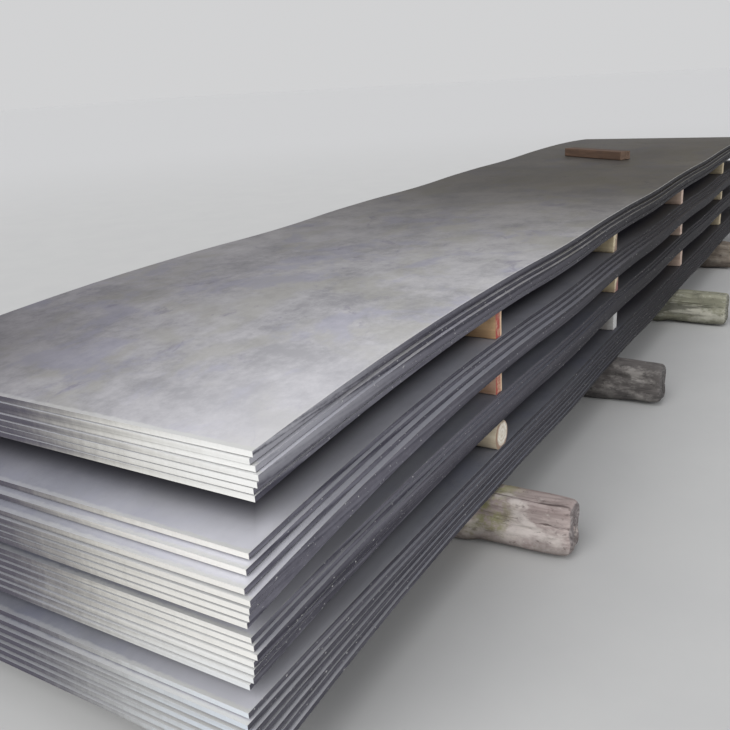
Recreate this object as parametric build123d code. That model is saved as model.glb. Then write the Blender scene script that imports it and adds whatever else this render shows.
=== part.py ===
from build123d import *
import math
import os

# Steel plates in four bundles on timber, as stacked in a yard. Millimetres, +Z up.
# X runs along the plates with the near end at -X, and Y runs across them.

# Plate stock
plate_length = 6000.0
plate_width = 1250.0
plate_thickness = 12.0
plates_per_bundle = 7
plate_gap = 0.3             # two plates that lie on each other stay this far apart
cut_allowance = 20.0        # a plate is shaped this much too long at each end, then cut square

# Timber columns, measured from the near end of the top plate
column_first = 1115.0
column_pitch = 1265.0
column_count = 4
land_half = 72.0            # a plate is level this far to each side of a column

# Spacers between the bundles
spacer_height = 80.0
spacer_corner = 2.5         # sawn long corners
spacer_set_back = 25.0      # the far ends stop this far inside the plates' far edge
pole_diameter = 96.0        # the round pole, hewn level above and below

# Bearers under the stack
bearer_height = 175.0
bearer_width = 116.0
bearer_corner = 16.0        # worn long corners
bearer_land = 105.0         # the bottom bundle is level this far past a bearer's middle

# The short piece of timber left on the top plate
loose_length = 500.0
loose_width = 82.0
loose_height = 52.0
loose_corner = 4.0
loose_from_near_end = 4385.0
loose_from_edge = 687.0
loose_turn = -30.0
loose_gap = 0.3             # it stays this far off the plate that it lies on

bundle_height = plates_per_bundle * plate_thickness + (plates_per_bundle - 1) * plate_gap
bundle_rise = bundle_height + spacer_height

# Each bundle from the top down. The lists run from its top plate to its bottom plate:
# near_droop, far_droop: how far the free ends hang below the columns
# sag: how far the plate hangs between two columns, span by span for the top plate,
# and how much further each plate below it hangs
# forward, outward: how far it sticks out at the near end and at the near side
# turn: its yaw on the stack, in degrees
bundles = [
    dict(name="plate_top",
         near_droop=[43, 44.8, 46.5, 48.3, 50, 51.8, 53.5],
         far_droop=[30, 31, 32, 33, 34, 35, 36],
         sag=[7.0, 6.0, 5.0], sag_step=0.4,
         forward=[0, 4, 1, 6, 9, 10, 12],
         outward=[0, -7, 5, 15, 9, -1, 4],
         turn=[0.0, 0.02, -0.02, -0.04, 0.02, 0.03, 0.0]),
    dict(name="plate_upper",
         near_droop=[60, 66, 73, 78.5, 83.5, 87, 91],
         far_droop=[32, 34, 37, 38, 39, 40, 41],
         sag=[7.0, 6.0, 6.0], sag_step=0.5,
         forward=[50, 72, 100, 104, 105, 106, 106],
         outward=[-2, 9, 21, 37, 34, 31, 27],
         turn=[0.15, 0.12, 0.18, 0.15, 0.14, 0.16, 0.12]),
    dict(name="plate_lower",
         near_droop=[50, 52, 54, 56.5, 59, 61.5, 64],
         far_droop=[30, 31, 32, 33, 34, 35, 36],
         sag=[7.0, 6.0, 5.0], sag_step=0.4,
         forward=[84, 86, 90, 94, 98, 102, 106],
         outward=[7, 14, 22, 18, 17, 18, 12],
         turn=[0.20, 0.18, 0.20, 0.16, 0.20, 0.18, 0.16]),
    dict(name="plate_bottom",
         near_droop=[19, 22, 29, 37, 45, 52, 60],
         far_droop=[16, 18, 20, 22, 24, 27, 30],
         sag=[5.0, 5.0, 4.0], sag_step=0.8,
         forward=[124, 136, 140, 142, 144, 146, 148],
         outward=[16, 24, 28, 32, 36, 40, 44],
         turn=[0.18, 0.14, 0.18, 0.12, 0.15, 0.10, 0.14]),
]

# Spacer levels from the top down: how far the spacers' near ends stick out past the near edge
# of a plate in line, how far each spacer is shifted along X, and its yaw in degrees
spacer_levels = [
    dict(name="spacer_top", stick_out=[-1, -7, -3, -9], shift=[18, 6, -10, 4], turn=[0.3, -0.5, 0.6, -0.2]),
    dict(name="spacer_middle", stick_out=[7, 5, 1, -5], shift=[6, -8, 6, -6], turn=[-0.4, 0.4, -0.3, 0.5]),
    dict(name="spacer_low", stick_out=[21, 3, 11, -3], shift=[-16, 8, -6, 8], turn=[0.2, -0.3, 0.5, -0.4]),
]
spacer_widths = [46.0, 54.0, 50.0, 54.0]

# Bearers from the near end: reach past the plates at the near side and at the far side,
# shift along X and yaw in degrees
bearers = [
    dict(near_reach=278, far_reach=60, shift=-132, turn=3.0),
    dict(near_reach=240, far_reach=40, shift=-103, turn=-1.0),
    dict(near_reach=290, far_reach=75, shift=-185, turn=0.8),
    dict(near_reach=120, far_reach=50, shift=-120, turn=-0.6),
]


def column_x(column):
    return column_first + column * column_pitch - plate_length / 2


def bundle_base(level):
    # height of a bundle's underside over the columns, the top bundle being level 0
    return bearer_height + (len(bundles) - 1 - level) * bundle_rise


def level_strips(level):
    # a bundle is level over each column, and the bottom one from each bearer to its column
    strips = []
    for column in range(column_count):
        start = column_x(column) - land_half
        if level == len(bundles) - 1:
            start = min(start, column_x(column) + bearers[column]["shift"] - bearer_land)
        strips.append((start, column_x(column) + land_half))
    return strips


def hanging_line(near_x, far_x, near_droop, far_droop, sags, strips):
    # the lower long edge of a plate: level strips, and arcs where it hangs
    pieces = [TangentArc((strips[0][0], 0), (near_x, -near_droop), tangent=(-1, 0))]
    for column, (start, end) in enumerate(strips):
        pieces.append(Line((start, 0), (end, 0)))
        if column + 1 < len(strips):
            stop = strips[column + 1][0]
            middle = (end + stop) / 2
            sag = sags[column]
            turn_in = ((end + middle) / 2, -sag / 2)
            turn_out = ((stop + middle) / 2, -sag / 2)
            pieces.append(TangentArc((end, 0), turn_in, tangent=(1, 0)))
            pieces.append(ThreePointArc(turn_in, (middle, -sag), turn_out))
            pieces.append(TangentArc((stop, 0), turn_out, tangent=(-1, 0)))
    pieces.append(TangentArc((strips[-1][1], 0), (far_x, -far_droop), tangent=(1, 0)))
    return pieces


def make_plate(near_x, outward, turn, near_droop, far_droop, sags, strips, base):
    # the hanging strip is cut to length and width by a box turned on the stack
    start = near_x - cut_allowance
    stop = near_x + plate_length + cut_allowance
    low = hanging_line(start, stop, near_droop, far_droop, sags, strips)
    high = [piece.moved(Location((0, plate_thickness, 0))) for piece in low]
    ends = [
        Line((start, -near_droop), (start, plate_thickness - near_droop)),
        Line((stop, -far_droop), (stop, plate_thickness - far_droop)),
    ]
    profile = make_face(Wire(low + high + ends))
    strip = extrude(Plane.XZ * profile, amount=plate_width, both=True)
    depth = 2 * (max(near_droop, far_droop, *sags) + plate_thickness)
    outline = Box(plate_length, plate_width, depth).moved(
        Location((near_x + plate_length / 2, -outward, 0), (0, 0, turn)))
    plate = strip & outline
    return plate.moved(Location((0, 0, base)))


def spacer_length(stick_out):
    return plate_width + stick_out - spacer_set_back


def place_spacer(piece, x, stick_out, turn, base):
    across = (-spacer_set_back - stick_out) / 2
    return piece.moved(Location((x, across, base + spacer_height / 2), (0, 0, turn)))


def make_spacer(width, length):
    piece = Box(width, length, spacer_height)
    return chamfer(piece.edges().filter_by(Axis.Y), spacer_corner)


def make_pole(length):
    # a round pole hewn level where the plates bear on it
    pole = Cylinder(pole_diameter / 2, length, rotation=(90, 0, 0))
    return pole & Box(pole_diameter, length, spacer_height)


def make_bearer(x, near_reach, far_reach, turn):
    length = plate_width + near_reach + far_reach
    piece = Box(bearer_width, length, bearer_height)
    piece = chamfer(piece.edges().filter_by(Axis.Y), bearer_corner)
    across = (far_reach - near_reach) / 2
    return piece.moved(Location((x, across, bearer_height / 2), (0, 0, turn)))


def top_face_at(x):
    # height of the top plate's upper face beside a column or between two
    level = bundle_base(0) + bundle_height
    strips = level_strips(0)
    for column in range(column_count - 1):
        start = strips[column][1]
        stop = strips[column + 1][0]
        if start < x < stop:
            sag = bundles[0]["sag"][column]
            along = 1 - abs(2 * (x - start) / (stop - start) - 1)
            if along < 0.5:
                return level - sag * 2 * along ** 2
            return level - sag * (1 - 2 * (1 - along) ** 2)
    return level


def make_loose():
    # it lies on its two outermost corners, so it tips with the hollow it lies across
    piece = Box(loose_width, loose_length, loose_height)
    piece = chamfer(piece.edges().filter_by(Axis.Y), loose_corner)
    x = loose_from_near_end - plate_length / 2
    y = loose_from_edge - plate_width / 2
    turn = math.radians(loose_turn)
    foot_half = loose_width / 2 - loose_corner
    reach = loose_length / 2 * abs(math.sin(turn)) + foot_half * math.cos(turn)
    near = top_face_at(x - reach)
    far = top_face_at(x + reach)
    tip = math.degrees(math.atan2(far - near, 2 * reach))
    flat = piece.moved(Location((0, 0, loose_height / 2), (0, 0, loose_turn)))
    return flat.moved(Location((x, y, (near + far) / 2 + loose_gap), (0, -tip, 0)))


nodes = {}
for level, row in enumerate(bundles):
    for index in range(plates_per_bundle):
        from_bottom = plates_per_bundle - 1 - index
        base = bundle_base(level) + from_bottom * (plate_thickness + plate_gap)
        near_x = -plate_length / 2 - row["forward"][index]
        sags = [sag + index * row["sag_step"] for sag in row["sag"]]
        nodes[f"{row['name']}_{index + 1}"] = make_plate(
            near_x, row["outward"][index], row["turn"][index],
            row["near_droop"][index], row["far_droop"][index], sags, level_strips(level), base)

for level, row in enumerate(spacer_levels):
    base = bundle_base(level) - spacer_height
    for column in range(column_count):
        x = column_x(column) + row["shift"][column]
        stick_out = row["stick_out"][column]
        if row["name"] == "spacer_low" and column == 0:
            piece = make_pole(spacer_length(stick_out))
        else:
            piece = make_spacer(spacer_widths[column], spacer_length(stick_out))
        nodes[f"{row['name']}_{column + 1}"] = place_spacer(piece, x, stick_out, row["turn"][column], base)

for column, row in enumerate(bearers):
    x = column_x(column) + row["shift"]
    nodes[f"bearer_{column + 1}"] = make_bearer(x, row["near_reach"], row["far_reach"], row["turn"])

nodes["loose_timber"] = make_loose()

box = Compound(children=[Compound(children=[piece]) for piece in nodes.values()]).bounding_box()
middle_x = (box.min.X + box.max.X) / 2
middle_y = (box.min.Y + box.max.Y) / 2
os.makedirs("parts", exist_ok=True)
for name, piece in nodes.items():
    export_step(piece.solid().moved(Location((-middle_x, -middle_y, -box.min.Z))), f"parts/{name}.step")
print(len(nodes), "pieces", round(box.size.X), round(box.size.Y), round(box.size.Z))
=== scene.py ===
import bpy, bmesh, math
from mathutils import Matrix, Vector, noise


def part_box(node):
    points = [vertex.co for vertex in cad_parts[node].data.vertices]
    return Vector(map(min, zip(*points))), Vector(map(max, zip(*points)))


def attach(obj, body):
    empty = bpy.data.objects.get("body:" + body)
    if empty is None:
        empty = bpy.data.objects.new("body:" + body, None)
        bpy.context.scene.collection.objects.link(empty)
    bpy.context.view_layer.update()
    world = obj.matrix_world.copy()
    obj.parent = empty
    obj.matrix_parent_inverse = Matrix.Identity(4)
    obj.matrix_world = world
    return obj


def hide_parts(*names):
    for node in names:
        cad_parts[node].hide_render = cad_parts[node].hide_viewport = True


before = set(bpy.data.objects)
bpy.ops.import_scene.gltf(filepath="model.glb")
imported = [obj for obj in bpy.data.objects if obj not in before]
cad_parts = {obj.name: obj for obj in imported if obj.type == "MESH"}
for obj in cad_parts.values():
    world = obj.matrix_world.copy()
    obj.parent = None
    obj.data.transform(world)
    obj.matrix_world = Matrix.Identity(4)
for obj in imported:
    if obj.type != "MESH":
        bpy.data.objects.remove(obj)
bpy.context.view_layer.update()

print("loaded", len(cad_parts), "nodes")


# paints

class Val:
    # a socket that can be used in sums
    def __init__(self, tree, socket):
        self.tree = tree
        self.socket = socket

    def maths(self, operation, *others, swap=False, clamp=False):
        terms = [self, *others]
        if swap:
            terms.reverse()
        node = self.tree.node("Math", {"operation": operation, "use_clamp": clamp}, dict(enumerate(terms)))
        return node["Value"]

    def __add__(self, other):
        return self.maths("ADD", other)

    def __sub__(self, other):
        return self.maths("SUBTRACT", other)

    def __rsub__(self, other):
        return self.maths("SUBTRACT", other, swap=True)

    def __mul__(self, other):
        return self.maths("MULTIPLY", other)

    def __pow__(self, other):
        return self.maths("POWER", other)

    __radd__ = __add__
    __rmul__ = __mul__

    def clipped(self):
        return self.maths("ADD", 0.0, clamp=True)

    def absolute(self):
        return self.maths("ABSOLUTE")

    def least(self, other):
        return self.maths("MINIMUM", other)

    def between(self, low, high):
        # 0 below low, 1 above high, soft in between
        node = self.tree.node("MapRange", {"interpolation_type": "SMOOTHSTEP"},
                              {"Value": self, "From Min": low, "From Max": high})
        return node["Result"]


class Placed:
    # a node whose outputs are read by name
    def __init__(self, tree, node):
        self.tree = tree
        self.raw = node

    def __getitem__(self, name):
        return Val(self.tree, self.raw.outputs[name])


class NodeTree:
    # places and links the nodes of a material or of the world
    def __init__(self, raw):
        self.raw = raw

    def node(self, kind, settings=None, inputs=None):
        raw = self.raw.nodes.new("ShaderNode" + kind)
        for key, value in (settings or {}).items():
            if key == "stops":
                ramp = raw.color_ramp
                while len(ramp.elements) < len(value):
                    ramp.elements.new(0.5)
                for element, (place, shade) in zip(ramp.elements, value):
                    element.position = place
                    element.color = (*shade, 1)
            else:
                setattr(raw, key, value)
        for key, value in (inputs or {}).items():
            self.feed(raw.inputs[key], value)
        return Placed(self, raw)

    def feed(self, socket, value):
        if isinstance(value, Val):
            self.raw.links.new(value.socket, socket)
        elif socket.type == "RGBA" and len(value) == 3:
            socket.default_value = (*value, 1)
        else:
            socket.default_value = value


class Paint(NodeTree):
    # one material under construction
    def __init__(self, name, roughness=0.5, **constants):
        self.material = bpy.data.materials.new(name)
        self.material.use_nodes = True
        super().__init__(self.material.node_tree)
        self.shader = self.raw.nodes["Principled BSDF"]
        self.set("Roughness", roughness)
        for key, value in constants.items():
            self.set(key.replace("_", " "), value)
        self.coords = self.node("TexCoord")

    def set(self, name, value):
        self.feed(self.shader.inputs[name], value)

    def stretched(self, scale, move):
        mapping = self.node("Mapping", {}, {"Vector": self.coords["Object"], "Scale": scale,
                                            "Location": move})
        return mapping["Vector"]

    def cloud(self, scale, detail, rough, stretch=(1, 1, 1), move=(0, 0, 0), warp=0.0):
        made = self.node("TexNoise", {}, {"Vector": self.stretched(stretch, move), "Scale": scale,
                                          "Detail": detail, "Roughness": rough, "Distortion": warp})
        return made["Fac"]

    def blend(self, amount, first, second, mode="MIX"):
        # the Mix node's colours go in at sockets 6 and 7 and come out at 2
        made = self.node("Mix", {"data_type": "RGBA", "blend_type": mode},
                         {"Factor": amount, 6: first, 7: second})
        return made[2]

    def ramp(self, value, *stops):
        made = self.node("ValToRGB", {"stops": stops}, {"Fac": value})
        return made["Color"]

    def parts(self, name):
        split = self.node("SeparateXYZ", {}, {"Vector": self.coords[name]})
        return split["X"], split["Y"], split["Z"]

    def bump(self, height, strength, depth):
        made = self.node("Bump", {}, {"Height": height, "Strength": strength, "Distance": depth})
        self.set("Normal", made["Normal"])


# plates

# several of these shades are painted light: a highlight at the near corner, on the rims and on the lips,
# and shade in the gaps, deep under the bundle above, on the ledges, on the downward faces, inwards and
# towards the far end
steelLook = {
    "paleFace": (0.80, 0.79, 0.81), "midFace": (0.64, 0.63, 0.655), "darkFace": (0.42, 0.415, 0.44),
    "smudge": (0.30, 0.28, 0.38), "bare": (0.72, 0.72, 0.70), "farTint": (0.085, 0.072, 0.048),
    "cornerPale": (0.86, 0.85, 0.89), "warmFace": (0.55, 0.54, 0.48), "coolFace": (0.50, 0.50, 0.64),
    "inwardTint": (0.33, 0.32, 0.33), "gapTint": (0.33, 0.36, 0.46), "gapPale": (0.74, 0.76, 0.88),
    "sheltered": (0.034, 0.032, 0.044), "under": (0.09, 0.088, 0.10), "edgeDark": (0.075, 0.072, 0.095),
    "edgePale": (0.215, 0.21, 0.25), "edgeFar": (0.030, 0.029, 0.031), "lip": (0.62, 0.62, 0.66),
    "cutTop": (0.805, 0.805, 0.785), "cutUpper": (0.785, 0.77, 0.735), "cutLower": (0.785, 0.775, 0.745),
    "cutBottom": (0.58, 0.63, 0.69), "cutWarm": (0.33, 0.315, 0.275), "cutDull": (0.060, 0.055, 0.078),
    "specular": 0.10, "bumpStrength": 0.35, "bumpDepth": 0.0006,
    "edgeRounding": 0.0009, "roundedFrom": 50.0, "raggedEnd": 0.016, "raggedEdge": 0.008,
    "dullPerMetre": 1.45, "dullAtBottom": 0.10,
}
steelMetallic = {"flat": 0.35, "cut": 0.10, "side": 0.10}
steelRoughness = {"even": 0.42, "blotch": 0.20, "fleck": 0.10, "cut": 0.06, "side": 0.10}
steelRelief = {"fleck": 0.5, "grain": 0.6, "shear": 1.2, "rust": 1.2}

# clouds of noise in the steel
steelClouds = {
    "broad": {"scale": 1.6, "detail": 5.0, "rough": 0.6, "warp": 0.3},
    "blotch": {"scale": 7.5, "detail": 7.0, "rough": 0.66, "move": (3, 1, 0)},
    "fleck": {"scale": 42.0, "detail": 5.0, "rough": 0.7},
    "grain": {"scale": 320.0, "detail": 2.0, "rough": 0.5, "stretch": (0.4, 1, 1)},
    "rolled": {"scale": 70.0, "detail": 3.0, "rough": 0.6, "stretch": (0.012, 1, 1), "move": (0, 3, 0)},
    "warm": {"scale": 3.1, "detail": 4.0, "rough": 0.6, "stretch": (1, 1.3, 1), "move": (8, 2, 6),
             "warp": 0.4},
    "cool": {"scale": 4.2, "detail": 5.0, "rough": 0.65, "stretch": (1, 1.2, 1), "move": (3, 9, 1),
             "warp": 0.4},
    "smudge": {"scale": 5.0, "detail": 7.0, "rough": 0.72, "stretch": (1, 1.2, 1), "move": (1, 8, 2),
               "warp": 0.6},
    "mark": {"scale": 3.6, "detail": 8.0, "rough": 0.66, "move": (6, 4, 3), "warp": 1.4},
    "rubbed": {"scale": 8.0, "detail": 6.0, "rough": 0.7, "stretch": (0.7, 1.5, 1), "move": (7, 5, 0),
               "warp": 0.5},
    "ragged": {"scale": 55.0, "detail": 4.0, "rough": 0.7, "stretch": (1, 0.5, 1), "move": (2, 9, 4)},
    "perPlate": {"scale": 1.0, "detail": 1.0, "rough": 0.5, "stretch": (0.25, 0.25, 95.0)},
    "drift": {"scale": 3.0, "detail": 3.0, "rough": 0.6, "stretch": (0.5, 1, 5.0), "move": (4, 4, 1)},
    "rust": {"scale": 60.0, "detail": 6.0, "rough": 0.75, "stretch": (0.7, 1, 1)},
    "speck": {"scale": 170.0, "detail": 2.0, "rough": 0.5, "stretch": (0.6, 1, 1)},
    "shear": {"scale": 70.0, "detail": 4.0, "rough": 0.65, "stretch": (1, 1, 0.15)},
    "patch": {"scale": 9.0, "detail": 6.0, "rough": 0.7, "stretch": (1, 1.0, 2.5), "move": (2, 2, 4)},
    "plateTone": {"scale": 1.0, "detail": 1.0, "rough": 0.5, "stretch": (0.3, 0.3, 80.0),
                  "move": (5, 5, 5)},
}

# tones made of several clouds: the weight of each, and an even drop
steelTones = {
    "face": ({"broad": 0.40, "blotch": 0.44, "fleck": 0.22, "grain": 0.06, "rolled": 0.05}, 0.085),
    "edge": ({"perPlate": 1.10, "drift": 0.40, "rust": 0.40}, 0.48),
    "end": ({"patch": 0.18, "plateTone": 0.40, "shear": 0.20}, 0.39),
}

# patches on the rolled faces, in order: cloud, where it starts and where it is full, share, shade
steelPatches = (
    ("warm", (0.48, 0.62), 0.50, "warmFace"),
    ("cool", (0.52, 0.64), 0.48, "coolFace"),
    ("smudge", (0.585, 0.67), 0.42, "smudge"),
    ("mark", (0.61, 0.67), 0.55, "smudge"),
    ("rubbed", (0.58, 0.70), 0.35, "bare"),
)

# where a change starts and where it is full, by the slope of the surface
steelSlopes = {
    "flat": (0.55, 0.75), "cut": (0.6, 0.8), "side": (0.35, 0.50), "under": (0.4, 0.6),
    "lipStart": (0.20, 0.45), "lipStop": (0.80, 0.97),
}

# the same in metres, along X, up, inwards from the near edge or from an end
steelPlaces = {
    "topPlate": (0.002, 0.009), "deepFromEnd": (0.035, 0.17), "deepFromSide": (0.008, 0.115),
    "gapUp": (0.42, 0.58), "cornerAlong": (-3.1, -1.9), "cornerInward": (0.0, 0.65),
    "inward": (-0.15, 1.15), "inwardAlong": (-3.0, -0.5), "tipFromEnd": (0.0, 0.6),
    "tipInward": (0.70, 1.15), "farAlong": (-3.1, 0.5), "farInward": (0.3, 1.2),
    "wornEnd": (0.001, 0.009), "wornEdge": (-0.002, 0.002), "wornInward": (0.05, 0.70),
    "ledgeInward": (0.012, 0.045), "ledgeFromEnd": (0.08, 0.45), "brightUp": (0.62, 0.72),
    "brightAlong": (-3.0, -2.2), "lowUp": (0.20, 0.50), "edgeAlong": (-3.2, 0.0),
    "bottomUp": (0.18, 0.34), "metalAlong": (-3.0, 0.0),
}

# the same by the strength of a cloud or a tone
steelLevels = {
    "flecked": (0.35, 0.60), "brightEdge": (0.2, 0.5), "specked": (0.70, 0.74),
    "warmEnd": (-0.05, 0.75), "dullEnd": (0.40, 1.05),
}

# how much of each shade is laid on where it is full
steelShares = {
    "gap": 0.62, "corner": 0.60, "inward": 0.92, "inwardAlong": 0.42, "tip": 0.70, "far": 0.95,
    "farInward": 0.05, "wornEnd": 0.85, "wornInward": 0.60, "wornEdge": 0.35, "sheltered": 0.95,
    "ledge": 0.30, "bright": 0.75, "low": 0.40, "lip": 0.75, "edgeFar": 0.92, "speck": 0.85,
    "warmEnd": 0.72, "dullEnd": 0.94,
}


class PlateSpots:
    # where a point lies on its plate, and which way the surface faces there
    def __init__(self, paint):
        nx, ny, self.nz = paint.parts("Normal")
        self.flat = self.nz.absolute().between(*steelSlopes["flat"])
        self.cut = nx.absolute().between(*steelSlopes["cut"])
        self.side = ny.absolute().between(*steelSlopes["side"])
        self.x, _, self.z = paint.parts("Object")
        alongShare, acrossShare, _ = paint.parts("Generated")
        low, high = (Vector(corner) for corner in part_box("plate_top_1"))
        length, width = high.x - low.x, high.y - low.y
        self.fromEnd = alongShare * length
        self.fromEdge = acrossShare * width
        # below is 0 on the top plate's upper face, and deep is 1 well under the bundle above
        self.below = 1 - self.z.between(*(low.z + rise for rise in steelPlaces["topPlate"]))
        fromEnds = self.fromEnd.least(length - self.fromEnd)
        fromSides = self.fromEdge.least(width - self.fromEdge)
        inside = fromEnds.between(*steelPlaces["deepFromEnd"])
        self.deep = inside.least(fromSides.between(*steelPlaces["deepFromSide"])) * self.below


def rolledFace(paint, clouds, tone, at):
    look, place, share = steelLook, steelPlaces, steelShares
    # blotchy mill scale with violet smudges
    face = paint.ramp(tone.clipped(), (0.40, look["darkFace"]), (0.52, look["midFace"]),
                      (0.64, look["paleFace"]))
    for name, reach, amount, shade in steelPatches:
        patch = clouds[name].between(*reach) * amount
        if name == "mark":
            patch = patch * clouds["fleck"].between(*steelLevels["flecked"])
        face = paint.blend(patch, face, look[shade])

    # painted shade in the gaps under the bundle above, lighter in the upper gaps; a painted highlight at
    # the near corner; painted shade inwards, at the far side of the near end and, browner, towards the far
    # end
    gapShade = paint.blend(at.z.between(*place["gapUp"]), look["gapTint"], look["gapPale"])
    face = paint.blend(at.below * share["gap"], face, gapShade)
    corner = (1 - at.x.between(*place["cornerAlong"])) * (1 - at.fromEdge.between(*place["cornerInward"]))
    face = paint.blend(corner * share["corner"], face, look["cornerPale"])
    eased = share["inward"] - at.x.between(*place["inwardAlong"]) * share["inwardAlong"]
    face = paint.blend(at.fromEdge.between(*place["inward"]) * eased, face, look["inwardTint"], "MULTIPLY")
    tip = (1 - at.fromEnd.between(*place["tipFromEnd"])) * at.fromEdge.between(*place["tipInward"])
    face = paint.blend(tip * share["tip"], face, look["inwardTint"], "MULTIPLY")
    eased = share["far"] - at.fromEdge.between(*place["farInward"]) * share["farInward"]
    face = paint.blend(at.x.between(*place["farAlong"]) * eased, face, look["farTint"], "MULTIPLY")

    # bare metal along the worn rims, partly a painted highlight that is brighter towards the near side and
    # hides the shadows in the seams; painted shade on the ledges and deep under the bundle above
    wornEnd = 1 - (at.fromEnd - clouds["ragged"] * look["raggedEnd"]).between(*place["wornEnd"])
    wornEdge = 1 - (at.fromEdge - clouds["ragged"] * look["raggedEdge"]).between(*place["wornEdge"])
    eased = share["wornEnd"] - at.fromEdge.between(*place["wornInward"]) * share["wornInward"]
    face = paint.blend(wornEnd * eased, face, look["bare"])
    face = paint.blend(wornEdge * share["wornEdge"], face, look["bare"])
    face = paint.blend(at.deep * share["sheltered"], face, look["sheltered"])
    ledge = (1 - at.fromEdge.between(*place["ledgeInward"])) * at.fromEnd.between(*place["ledgeFromEnd"])
    face = paint.blend(ledge * at.below * share["ledge"], face, look["edgeDark"])
    # painted shade on the downward faces
    return paint.blend((0 - at.nz).between(*steelSlopes["under"]), face, look["under"])


def longEdge(paint, clouds, tone, at):
    # dull mill edge, a little different on each plate, with a painted highlight on the upward-facing lip of
    # each plate and on the upper sides near the near end, and painted shade towards the far end and towards
    # the bottom
    look, place, share = steelLook, steelPlaces, steelShares
    tone = tone.clipped()
    edge = paint.ramp(tone, (0.25, look["edgeDark"]), (0.66, look["edgePale"]))
    bright = at.z.between(*place["brightUp"]) * (1 - at.x.between(*place["brightAlong"]))
    bright = bright * tone.between(*steelLevels["brightEdge"])
    edge = paint.blend(bright * share["bright"], edge, look["lip"])
    edge = paint.blend((1 - at.z.between(*place["lowUp"])) * share["low"], edge, look["edgeFar"])
    lip = at.nz.between(*steelSlopes["lipStart"]) * (1 - at.nz.between(*steelSlopes["lipStop"]))
    edge = paint.blend(lip * share["lip"], edge, look["lip"])
    edge = paint.blend(at.x.between(*place["edgeAlong"]) * share["edgeFar"], edge, look["edgeFar"])
    specks = clouds["speck"].between(*steelLevels["specked"])
    return paint.blend(specks * share["speck"], edge, look["bare"])


def shearedEnd(paint, tone, at):
    # bright metal at the near side that turns darker and warmer inwards and towards the bottom, each bundle
    # with its own cast
    look, share = steelLook, steelShares
    metal = paint.ramp(at.z, (0.21, look["cutBottom"]), (0.34, look["cutLower"]),
                       (0.52, look["cutUpper"]), (0.66, look["cutTop"]))
    low = 1 - at.z.between(*steelPlaces["bottomUp"])
    dulled = at.fromEdge * look["dullPerMetre"] + low * look["dullAtBottom"] + tone
    ends = paint.blend(dulled.between(*steelLevels["warmEnd"]) * share["warmEnd"], metal, look["cutWarm"])
    return paint.blend(dulled.between(*steelLevels["dullEnd"]) * share["dullEnd"], ends, look["cutDull"])


def steelPaint():
    paint = Paint("plateSteel", Specular_IOR_Level=steelLook["specular"])
    at = PlateSpots(paint)
    clouds = {name: paint.cloud(**settings) for name, settings in steelClouds.items()}
    tones = {}
    for name, (weights, drop) in steelTones.items():
        tones[name] = sum(clouds[cloud] * weight for cloud, weight in weights.items()) - drop
    face = rolledFace(paint, clouds, tones["face"], at)
    edge = longEdge(paint, clouds, tones["edge"], at)
    ends = shearedEnd(paint, tones["end"], at)
    paint.set("Base Color", paint.blend(at.cut, paint.blend(at.side, face, edge), ends))

    metallic, roughness, relief = steelMetallic, steelRoughness, steelRelief
    shiny = at.flat * (1 - at.x.between(*steelPlaces["metalAlong"])) * metallic["flat"]
    paint.set("Metallic", shiny + at.cut * metallic["cut"] + at.side * metallic["side"])
    mottled = clouds["blotch"] * roughness["blotch"] + clouds["fleck"] * roughness["fleck"]
    rough = roughness["even"] + mottled + at.side * roughness["side"] + at.cut * roughness["cut"]
    paint.set("Roughness", rough.clipped())
    height = clouds["fleck"] * relief["fleck"] + clouds["grain"] * relief["grain"]
    height = height + clouds["shear"] * at.cut * relief["shear"] + clouds["rust"] * at.side * relief["rust"]
    paint.bump(height, steelLook["bumpStrength"], steelLook["bumpDepth"])
    return paint.material


plateNames = [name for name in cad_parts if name.startswith("plate_")]
plateMaterial = steelPaint()
for name in plateNames:
    plate = bpy.data.objects[name]
    plate.data.materials.clear()
    plate.data.materials.append(plateMaterial)
    rounding = plate.modifiers.new("edges", "BEVEL")
    rounding.width = steelLook["edgeRounding"]
    rounding.segments = 1
    rounding.limit_method = "ANGLE"
    rounding.angle_limit = math.radians(steelLook["roundedFrom"])
print("plates", len(plateNames))


# timber

# how timber wears: noise scales are per metre, places and sizes in metres
timberWear = {
    "seedStep": (7.31, 3.77, 1.93), "broadScale": 5, "roughScale": (40, 5), "seamScale": (34, 2.2),
    "seamWidth": 0.035, "coveredWear": 0.2, "coverBlend": 0.05, "thinnest": 0.2,
    "roundAngles": (0, 25, 48, 70), "dentScale": 45, "dentRise": 3,
    "splitSlope": (0.9, 0.35), "splitWander": 0.012, "splitScale": 40, "splitWidth": 0.006,
}


def speckle(point, octaves):
    # fractal noise from about 0 to 1
    return noise.fractal(point, 1.0, 2.0, octaves) * 0.5 + 0.5


def seedShift(seed):
    return Vector([seed * step for step in timberWear["seedStep"]])


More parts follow.
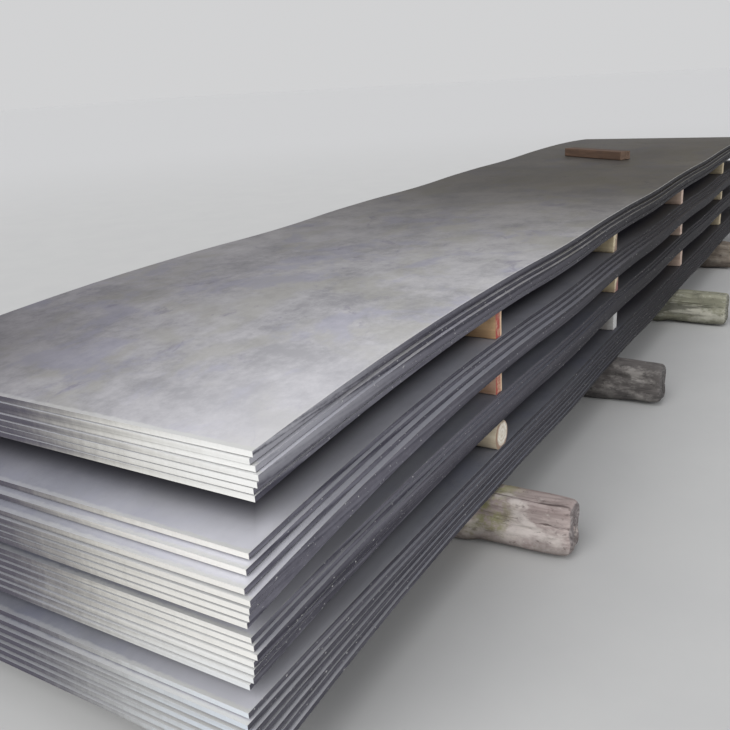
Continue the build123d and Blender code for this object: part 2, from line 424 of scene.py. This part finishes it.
def wornRing(bm, y, length, section, look):
    # the section at one place along the timber, worn inwards and rounded off towards the ends
    wear, endRound = look["wear"], look["endRound"]
    shift = seedShift(look["seed"])
    roughAcross, roughAlong = timberWear["roughScale"]
    seamAcross, seamAlong = timberWear["seamScale"]
    fromEnd = length / 2 - abs(y)
    covered = (fromEnd - look.get("openLength", length)) / timberWear["coverBlend"]
    exposed = 1 - (1 - timberWear["coveredWear"]) * min(1.0, max(0.0, covered))
    inset = 0.0
    if fromEnd < endRound:
        inset = endRound - math.sqrt(max(0.0, endRound ** 2 - (endRound - fromEnd) ** 2))
    ring = []
    for px, pz in section:
        broad = speckle(Vector((px, y, pz)) * timberWear["broadScale"] + shift, 3)
        rough = speckle(Vector((px * roughAcross, y * roughAlong, pz * roughAcross)) + shift, 4)
        seam = abs(noise.noise(Vector((px * seamAcross, y * seamAlong, pz * seamAcross)) + shift * 2))
        crack = max(0.0, 1 - seam / timberWear["seamWidth"]) * wear["crack"]
        inward = (wear["broad"] * broad + wear["rough"] * rough + crack) * exposed + inset
        scale = max(timberWear["thinnest"], 1 - inward / math.hypot(px, pz))
        ring.append(bm.verts.new((px * scale, y, pz * scale)))
    return ring


def closeEnd(bm, edge, sign, look, endRings, split):
    # end grain in rings towards the middle, dented, and split across where it is asked for
    shift = seedShift(look["seed"])
    slopeX, slopeZ = timberWear["splitSlope"]
    dentScale, splitScale = timberWear["dentScale"], timberWear["splitScale"]
    count = len(edge)
    outer = edge
    for number in range(1, endRings):
        part = 1 - number / endRings
        within = []
        for vert in edge:
            x, z = vert.co.x * part, vert.co.z * part
            dent = speckle(Vector((x * dentScale, sign, z * dentScale)) + shift, 3)
            wander = timberWear["splitWander"] * noise.noise(Vector((z * splitScale, look["seed"], sign)))
            line = abs(x * slopeX + z * slopeZ + wander)
            depth = split * max(0.0, 1 - line / timberWear["splitWidth"])
            gentle = min(1.0, timberWear["dentRise"] * (1 - part))
            y = vert.co.y - sign * gentle * (look["wear"]["rough"] * dent + depth)
            within.append(bm.verts.new((x, y, z)))
        for k in range(count):
            bm.faces.new((outer[k], within[k], within[(k + 1) % count], outer[(k + 1) % count]))
        outer = within
    middle = bm.verts.new((0, outer[0].co.y, 0))
    for k in range(count):
        bm.faces.new((outer[k], middle, outer[(k + 1) % count]))


def timberMesh(name, length, section, look, endRings, split):
    # a closed length of timber along Y
    step, endRound = look["step"], look["endRound"]
    near = [-length / 2 + endRound * (1 - math.cos(math.radians(a))) for a in timberWear["roundAngles"]]
    inner = [-length / 2 + endRound + (length - 2 * endRound) * k / step for k in range(1, step)]
    places = near + inner + [-y for y in reversed(near)]
    bm = bmesh.new()
    rings = [wornRing(bm, y, length, section, look) for y in places]
    count = len(section)
    for first, second in zip(rings, rings[1:]):
        for k in range(count):
            bm.faces.new((first[k], first[(k + 1) % count], second[(k + 1) % count], second[k]))
    closeEnd(bm, rings[0], -1, look, endRings, split)
    closeEnd(bm, rings[-1], 1, look, endRings, split)
    bmesh.ops.recalc_face_normals(bm, faces=bm.faces[:])
    mesh = bpy.data.meshes.new(name)
    bm.to_mesh(mesh)
    bm.free()
    for polygon in mesh.polygons:
        polygon.use_smooth = True
    return mesh


def squareSection(width, height, corner, perSide, perCorner=4):
    # outline of a rectangle with rounded corners, anticlockwise
    points = []
    turns = ((1, 1, 0), (-1, 1, 90), (-1, -1, 180), (1, -1, 270))
    for sx, sz, start in turns:
        cx, cz = sx * (width / 2 - corner), sz * (height / 2 - corner)
        for k in range(perCorner + 1):
            angle = math.radians(start + 90 * k / perCorner)
            points.append((cx + corner * math.cos(angle), cz + corner * math.sin(angle)))
    full = []
    for (ax, az), (bx, bz) in zip(points, points[1:] + points[:1]):
        parts = max(1, round(math.hypot(bx - ax, bz - az) / (max(width, height) / perSide)))
        for k in range(parts):
            full.append((ax + (bx - ax) * k / parts, az + (bz - az) * k / parts))
    return full


def poleSection(radius, height, count=44):
    # outline of a round pole hewn level above and below
    points = []
    for k in range(count):
        angle = 2 * math.pi * k / count
        z = radius * math.sin(angle)
        points.append((radius * math.cos(angle), max(-height / 2, min(height / 2, z))))
    return points


# clouds of noise in the timber, moved for each piece unless they have a move of their own
timberClouds = {
    "fibre": {"scale": 70.0, "detail": 5.0, "rough": 0.6, "stretch": (1, 0.06, 1)},
    "band": {"scale": 14.0, "detail": 3.0, "rough": 0.6, "stretch": (1, 0.12, 1), "warp": 0.4},
    "dirt": {"scale": 9.0, "detail": 5.0, "rough": 0.65},
    "wobble": {"scale": 30.0, "detail": 3.0, "rough": 0.6, "stretch": (1, 0.2, 1)},
    "check": {"scale": 55.0, "detail": 4.0, "rough": 0.7, "stretch": (1, 0.1, 1), "move": (4, 1, 2)},
    "brush": {"scale": 38.0, "detail": 5.0, "rough": 0.7},
    "stain": {"scale": 40.0, "detail": 4.0, "rough": 0.6},
    "moss": {"scale": 18.0, "detail": 5.0, "rough": 0.7, "move": (5, 2, 8)},
    "dust": {"scale": 7.0, "detail": 5.0, "rough": 0.7, "stretch": (1, 0.6, 1.3)},
    "blot": {"scale": 38.0, "detail": 5.0, "rough": 0.75, "stretch": (1, 0.5, 1), "warp": 0.3},
    "split": {"scale": 26.0, "detail": 3.0, "rough": 0.6, "stretch": (1, 0.07, 1), "warp": 0.2},
}

# where a mark starts and where it is full: in metres or in its cloud
timberPlaces = {
    "endGrain": (0.55, 0.75), "brushed": (0.36, 0.54), "paintedEnd": (0.30, 0.32), "rubbed": (0.010, 0.017),
    "rim": (0.036, 0.043), "stained": (0.35, 0.75), "mossy": (0.42, 0.58), "mossFrom": (0.44, 0.50),
    "mossTo": (0.56, 0.66), "dirty": (0.52, 0.70), "dusty": (0.47, 0.60), "open": (0.47, 0.60),
    "foot": (-0.025, 0.045), "darkBlot": (0.56, 0.66), "paleBlot": (0.60, 0.68), "cracked": (0.60, 0.66),
}

# how much of each mark is laid on where it is full
timberShares = {"painted": 0.90, "rubbed": 0.85, "rim": 0.85, "stain": 0.85, "moss": 0.75, "inner": 0.88,
                "damp": 0.80, "darkBlot": 0.55, "paleBlot": 0.45, "cracked": 0.75}

# the make-up of the wood itself, and how ragged its marks are
timberGrain = {
    "fibre": 0.55, "band": 0.55, "drop": 0.05, "ringPace": 520.0, "ringWobble": 12.0, "ring": 0.22,
    "check": 0.78, "paintRagged": 0.004, "rimRagged": 0.006, "stainSlope": (14, 9), "stainRagged": 0.9,
    "cleanEnd": 0.7, "footRagged": 0.12, "roughness": 0.72, "dirtRoughness": 0.2,
    "fibreRelief": 0.8, "checkRelief": 0.8, "dirtRelief": 0.3, "bumpStrength": 0.7, "bumpDepth": 0.0022,
}


def timberPaint(name, look):
    paint = Paint(name)
    place, share, grain = timberPlaces, timberShares, timberGrain
    ownMove = (look["seed"] * 1.7, look["seed"] * 0.9, 0)

    def cloud(kind, **changes):
        return paint.cloud(**{"move": ownMove, **timberClouds[kind], **changes})

    endGrain = paint.parts("Normal")[1].absolute().between(*place["endGrain"])
    x, y, z = paint.parts("Object")
    towardsNear = 0 - y
    fibre, dirt, wobble, check = (cloud(kind) for kind in ("fibre", "dirt", "wobble", "check"))

    # long grain on the sides, growth rings and checks on the ends
    shade = (fibre * grain["fibre"] + cloud("band") * grain["band"] - grain["drop"]).clipped()
    wood = paint.ramp(shade, (0.25, look["dark"]), (0.5, look["mid"]), (0.75, look["pale"]))
    fromHeart = ((x - look["heart"][0]) ** 2 + (z - look["heart"][1]) ** 2) ** 0.5
    rings = (fromHeart * grain["ringPace"] + wobble * grain["ringWobble"]).maths("SINE") * 0.5 + 0.5
    ringed = (rings * grain["ring"] + check * grain["check"]).clipped()
    grained = paint.ramp(ringed, (0.25, look["endDark"]), (0.7, look["endPale"]))
    colour = paint.blend(endGrain, wood, grained)

    # what has got onto this piece; also painted shade on the part inside the gaps, and darker towards the
    # bottom
    if "paintShade" in look:
        worn = cloud("brush").between(*place["brushed"])
        painted = worn * endGrain * towardsNear.between(*place["paintedEnd"])
        colour = paint.blend(painted * share["painted"], colour, look["paintShade"])
        rubbed = endGrain * (x + worn * grain["paintRagged"]).between(*place["rubbed"])
        colour = paint.blend(rubbed * share["rubbed"], colour, look["pale"])
    if "rimShade" in look:
        rim = endGrain * (fromHeart + wobble * grain["rimRagged"]).between(*place["rim"])
        colour = paint.blend(rim * share["rim"], colour, look["rimShade"])
    if "stainShade" in look:
        slopeX, slopeZ = grain["stainSlope"]
        stain = x * slopeX - z * slopeZ + cloud("stain") * grain["stainRagged"]
        colour = paint.blend(stain.between(*place["stained"]) * share["stain"], colour, look["stainShade"])
    if "mossShade" in look:
        reach = towardsNear.between(*place["mossFrom"]) * (1 - towardsNear.between(*place["mossTo"]))
        moss = cloud("moss").between(*place["mossy"]) * reach
        colour = paint.blend(moss * share["moss"], colour, look["mossShade"])
    colour = paint.blend(dirt.between(*place["dirty"]) * look["dirt"], colour, look["dirtShade"])
    if "dustShade" in look:
        dust = cloud("dust", move=look["dustMove"]).between(*place["dusty"]) * look["dust"]
        colour = paint.blend(dust * (1 - endGrain * grain["cleanEnd"]), colour, look["dustShade"])
    # painted shade on the part of a spacer that lies inside the gap, away from the near end
    if "innerShade" in look:
        inner = 1 - towardsNear.between(*place["open"])
        colour = paint.blend(inner * share["inner"], colour, look["innerShade"])
    if "dampShade" in look:
        # darker towards the bottom of the timber, then dark blots, pale blots and cracks
        foot = 1 - (z + dirt * grain["footRagged"]).between(*place["foot"])
        colour = paint.blend(foot * share["damp"], colour, look["dampShade"])
        blot = cloud("blot")
        dark = blot.between(*place["darkBlot"])
        colour = paint.blend(dark * share["darkBlot"], colour, look["dampShade"])
        pale = (1 - blot).between(*place["paleBlot"])
        colour = paint.blend(pale * share["paleBlot"], colour, look["dustShade"])
        cracked = cloud("split").between(*place["cracked"]) * (1 - endGrain)
        colour = paint.blend(cracked * share["cracked"], colour, look["dampShade"])

    paint.set("Base Color", colour)
    paint.set("Roughness", (grain["roughness"] + dirt * grain["dirtRoughness"]).clipped())
    height = fibre * grain["fibreRelief"] + check * endGrain * grain["checkRelief"]
    paint.bump(height + dirt * grain["dirtRelief"], grain["bumpStrength"], grain["bumpDepth"])
    return paint.material


def placeTimber(nodeName, look, material, slot, section=None, endRings=7, split=0.0):
    # built to the node's own length, which its box gives once its turn is taken off
    low, high = (Vector(corner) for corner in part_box(nodeName))
    turn = math.radians(look["turn"])
    length = (high.y - low.y - look["width"] * abs(math.sin(turn))) / math.cos(turn)
    section = section or squareSection(look["width"], look["height"], look["corner"], look["perSide"])
    mesh = timberMesh(nodeName + "_wood", length, section, look, endRings, split)
    piece = bpy.data.objects.new(nodeName + "_wood", mesh)
    bpy.context.scene.collection.objects.link(piece)
    tip = Matrix.Rotation(math.radians(look.get("tip", 0.0)), 4, "Y")
    piece.matrix_world = Matrix.Translation((low + high) / 2) @ tip @ Matrix.Rotation(turn, 4, "Z")
    mesh.materials.append(material)
    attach(piece, "root")
    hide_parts(nodeName)


# spacers, by their column from the near end
spacerLooks = {
    1: {"width": 0.046, "dark": (0.46, 0.27, 0.14), "mid": (0.74, 0.49, 0.27),
        "pale": (0.86, 0.66, 0.44), "endDark": (0.42, 0.20, 0.12), "endPale": (0.74, 0.48, 0.34),
        "dirt": 0.45, "dirtShade": (0.20, 0.11, 0.08), "heart": (0.01, -0.02),
        "paintShade": (0.42, 0.055, 0.05)},
    2: {"width": 0.054, "dark": (0.40, 0.31, 0.18), "mid": (0.60, 0.50, 0.32),
        "pale": (0.78, 0.69, 0.48), "endDark": (0.54, 0.42, 0.26), "endPale": (0.84, 0.76, 0.56),
        "dirt": 0.35, "dirtShade": (0.24, 0.16, 0.10), "heart": (-0.02, 0.03)},
    3: {"width": 0.050, "dark": (0.36, 0.25, 0.19), "mid": (0.52, 0.39, 0.31),
        "pale": (0.66, 0.54, 0.44), "endDark": (0.44, 0.30, 0.25), "endPale": (0.70, 0.57, 0.47),
        "dirt": 0.4, "dirtShade": (0.22, 0.15, 0.11), "heart": (0.03, 0.02)},
    4: {"width": 0.054, "dark": (0.33, 0.27, 0.17), "mid": (0.50, 0.42, 0.28),
        "pale": (0.64, 0.55, 0.39), "endDark": (0.42, 0.34, 0.22), "endPale": (0.66, 0.57, 0.40),
        "dirt": 0.4, "dirtShade": (0.20, 0.15, 0.10), "heart": (0.0, -0.03)},
}
spacerShape = {"height": 0.080, "corner": 0.003, "perSide": 9, "step": 50, "endRound": 0.0025,
               # painted shade for the part inside the gap
               "innerShade": (0.040, 0.032, 0.030),
               "wear": {"broad": 0.0008, "rough": 0.0010, "crack": 0.0012}}
spacerTurns = {"top": (0.3, -0.5, 0.6, -0.2), "middle": (-0.4, 0.4, -0.3, 0.5),
               "low": (0.2, -0.3, 0.5, -0.4)}
# what sets a single spacer apart from its column
spacerOwn = {
    "spacer_middle_1": {"mid": (0.66, 0.42, 0.30), "dirt": 0.7},
    "spacer_top_2": {"stainShade": (0.20, 0.12, 0.10)},
    "spacer_middle_2": {"stainShade": (0.22, 0.05, 0.07)},
    "spacer_low_2": {"dark": (0.36, 0.35, 0.34), "mid": (0.54, 0.53, 0.51), "pale": (0.72, 0.71, 0.69),
                     "endDark": (0.42, 0.42, 0.41), "endPale": (0.74, 0.74, 0.73)},
    "spacer_low_1": {"width": 0.096, "dark": (0.54, 0.43, 0.29), "mid": (0.76, 0.66, 0.49),
                     "pale": (0.90, 0.83, 0.68), "endDark": (0.66, 0.57, 0.43),
                     "endPale": (0.95, 0.92, 0.84), "dirt": 0.35, "dirtShade": (0.30, 0.21, 0.14),
                     "heart": (0.004, 0.003), "rimShade": (0.30, 0.17, 0.11),
                     "wear": {"broad": 0.0022, "rough": 0.0012, "crack": 0.0015}},
}
for column, columnLook in spacerLooks.items():
    for number, level in enumerate(("top", "middle", "low")):
        nodeName = f"spacer_{level}_{column}"
        look = {**spacerShape, **columnLook, **spacerOwn.get(nodeName, {})}
        look["turn"] = spacerTurns[level][column - 1]
        look["seed"] = column * 3 + number
        section = None
        if nodeName == "spacer_low_1":
            # the pole isn't painted
            section = poleSection(look["width"] / 2, look["height"])
            del look["paintShade"]
        placeTimber(nodeName, look, timberPaint(nodeName + "_paint", look), "spacer_wood", section)
print("spacers", len(spacerLooks) * 3)

# bearers, from the near end
bearerLooks = {
    1: {"turn": 3.0, "dark": (0.20, 0.15, 0.14), "mid": (0.48, 0.40, 0.38), "pale": (0.68, 0.60, 0.565),
        "endDark": (0.12, 0.10, 0.10), "endPale": (0.30, 0.27, 0.265), "dirt": 0.5,
        "dirtShade": (0.11, 0.085, 0.08), "dust": 0.75, "dustShade": (0.80, 0.735, 0.69),
        "dustMove": (9.0, 3.0, 5.0), "mossShade": (0.33, 0.33, 0.14), "dampShade": (0.085, 0.06, 0.055),
        "heart": (0.01, 0.02), "seed": 11, "openLength": 0.27},
    2: {"turn": -1.0, "dark": (0.055, 0.049, 0.046), "mid": (0.13, 0.118, 0.113),
        "pale": (0.24, 0.22, 0.21), "endDark": (0.05, 0.045, 0.045), "endPale": (0.16, 0.15, 0.145),
        "dirt": 0.6, "dirtShade": (0.045, 0.04, 0.04), "dust": 0.6, "dustShade": (0.50, 0.47, 0.44),
        "dustMove": (2.0, 6.0, 1.0), "dampShade": (0.035, 0.032, 0.032), "heart": (-0.02, 0.01),
        "seed": 12, "openLength": 0.23},
    3: {"turn": 0.8, "dark": (0.15, 0.15, 0.105), "mid": (0.30, 0.295, 0.22),
        "pale": (0.44, 0.43, 0.335), "endDark": (0.10, 0.10, 0.08), "endPale": (0.28, 0.275, 0.225),
        "dirt": 0.5, "dirtShade": (0.09, 0.09, 0.07), "dust": 0.65, "dustShade": (0.66, 0.64, 0.55),
        "dustMove": (5.0, 1.0, 7.0), "dampShade": (0.07, 0.07, 0.05), "heart": (0.0, 0.03), "seed": 13,
        "openLength": 0.28},
    4: {"turn": -0.6, "dark": (0.10, 0.085, 0.065), "mid": (0.22, 0.18, 0.145),
        "pale": (0.36, 0.31, 0.25), "endDark": (0.10, 0.085, 0.07), "endPale": (0.28, 0.24, 0.20),
        "dirt": 0.5, "dirtShade": (0.07, 0.06, 0.05), "dust": 0.4, "dustShade": (0.48, 0.44, 0.38),
        "dustMove": (3.0, 8.0, 2.0), "dampShade": (0.05, 0.04, 0.035), "heart": (0.02, -0.01),
        "seed": 14, "openLength": 0.11},
}
bearerShape = {"width": 0.116, "height": 0.175, "corner": 0.020, "perSide": 24, "step": 150,
               "endRound": 0.024, "wear": {"broad": 0.014, "rough": 0.009, "crack": 0.009}}
bearerEnds = {"endRings": 14, "split": 0.010}
for number, look in bearerLooks.items():
    wood = timberPaint(f"bearerWood{number}", look)
    placeTimber(f"bearer_{number}", {**bearerShape, **look}, wood, "bearer_wood", **bearerEnds)
print("bearers", len(bearerLooks))

looseLook = {"dark": (0.030, 0.016, 0.010), "mid": (0.065, 0.035, 0.020), "pale": (0.12, 0.065, 0.040),
             "endDark": (0.08, 0.05, 0.035), "endPale": (0.20, 0.13, 0.09), "dirt": 0.4,
             "dirtShade": (0.04, 0.025, 0.02), "heart": (0.02, 0.01), "seed": 21, "turn": -30.0,
             "tip": -0.38, "width": 0.082, "height": 0.052, "corner": 0.005, "perSide": 10, "step": 30,
             "endRound": 0.004, "wear": {"broad": 0.0015, "rough": 0.0012, "crack": 0.002}}
placeTimber("loose_timber", looseLook, timberPaint("looseWood", looseLook), "spacer_wood")
print("loose timber")


# floor, backdrop, light

stageLook = {"floorDark": (0.585, 0.585, 0.58), "floorPale": (0.605, 0.605, 0.597),
             "floorFar": (0.66, 0.66, 0.66), "floorSize": 160.0, "paleFrom": 3.5, "paleTo": 16.0,
             "roomShade": (0.38, 0.385, 0.40), "backdropShade": (0.641, 0.643, 0.650)}
endLamp = {"towards": (-0.78, 0.20, 0.60), "level": 2.4, "spread": 55.0}
sideLamp = {"towards": (-0.25, -0.90, 0.36), "level": 0.85, "spread": 60.0}


def buildStage():
    mesh = bpy.data.meshes.new("yardFloor")
    reach = stageLook["floorSize"] / 2
    bm = bmesh.new()
    corners = [bm.verts.new((sx * reach, sy * reach, 0)) for sx, sy in ((-1, -1), (1, -1), (1, 1), (-1, 1))]
    bm.faces.new(corners)
    bm.to_mesh(mesh)
    bm.free()
    floor = bpy.data.objects.new("yardFloor", mesh)
    bpy.context.scene.collection.objects.link(floor)
    paint = Paint("floorPaint", roughness=0.85, Specular_IOR_Level=0.2)
    x, y, _ = paint.parts("Object")
    away = ((x * x + y * y) ** 0.5).between(stageLook["paleFrom"], stageLook["paleTo"])
    mottled = paint.cloud(scale=2.4, detail=6.0, rough=0.65)
    concrete = paint.ramp(mottled, (0.35, stageLook["floorDark"]), (0.65, stageLook["floorPale"]))
    paint.set("Base Color", paint.blend(away, concrete, stageLook["floorFar"]))
    mesh.materials.append(paint.material)


def buildWorld():
    # the room lights softly, and the camera and the reflections see the pale backdrop
    world = bpy.data.worlds.new("softRoom")
    bpy.context.scene.world = world
    world.use_nodes = True
    tree = NodeTree(world.node_tree)
    room = Placed(tree, world.node_tree.nodes["Background"])
    tree.feed(room.raw.inputs["Color"], stageLook["roomShade"])
    backdrop = tree.node("Background", {}, {"Color": stageLook["backdropShade"]})
    path = tree.node("LightPath")
    seen = path["Is Camera Ray"]
    for ray in ("Is Glossy Ray", "Is Transmission Ray"):
        seen = seen.maths("MAXIMUM", path[ray])
    chosen = tree.node("MixShader", {}, {"Fac": seen, 1: room["Background"], 2: backdrop["Background"]})
    tree.feed(world.node_tree.nodes["World Output"].inputs["Surface"], chosen["Shader"])


def softSun(name, settings):
    lamp = bpy.data.lights.new(name, "SUN")
    lamp.energy = settings["level"]
    lamp.angle = math.radians(settings["spread"])
    holder = bpy.data.objects.new(name, lamp)
    holder.rotation_euler = Vector(settings["towards"]).to_track_quat("Z", "Y").to_euler()
    bpy.context.scene.collection.objects.link(holder)


buildStage()
buildWorld()
softSun("endLight", endLamp)
softSun("sideLight", sideLamp)
print("stage and light")


# camera

# the eye point is given from the top plate's near corner, which droops by cornerDrop
cameraSettings = {"lens": 41.33, "sensor": 36.0, "yaw": 32.32, "pitch": 19.08, "roll": 3.61,
                  "fromCorner": (-1.0465, -0.9122, 0.6263), "cornerDrop": 0.043}


def placeCamera():
    yaw, pitch, roll = (math.radians(cameraSettings[key]) for key in ("yaw", "pitch", "roll"))
    forward = Vector((math.cos(pitch) * math.cos(yaw), math.cos(pitch) * math.sin(yaw), -math.sin(pitch)))
    level = forward.cross(Vector((0, 0, 1))).normalized()
    upright = level.cross(forward)
    right = level * math.cos(roll) - upright * math.sin(roll)
    up = level * math.sin(roll) + upright * math.cos(roll)
    lens = bpy.data.cameras.new("yardCamera")
    lens.lens = cameraSettings["lens"]
    lens.sensor_width = cameraSettings["sensor"]
    holder = bpy.data.objects.new("yardCamera", lens)
    turn = Matrix((right, up, -forward)).transposed().to_4x4()
    low, high = (Vector(corner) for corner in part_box("plate_top_1"))
    corner = Vector((low.x, low.y, high.z - cameraSettings["cornerDrop"]))
    holder.matrix_world = Matrix.Translation(corner + Vector(cameraSettings["fromCorner"])) @ turn
    bpy.context.scene.collection.objects.link(holder)
    bpy.context.scene.camera = holder
    bpy.context.scene.view_settings.view_transform = "Standard"


placeCamera()
print("camera")

bpy.context.view_layer.update()
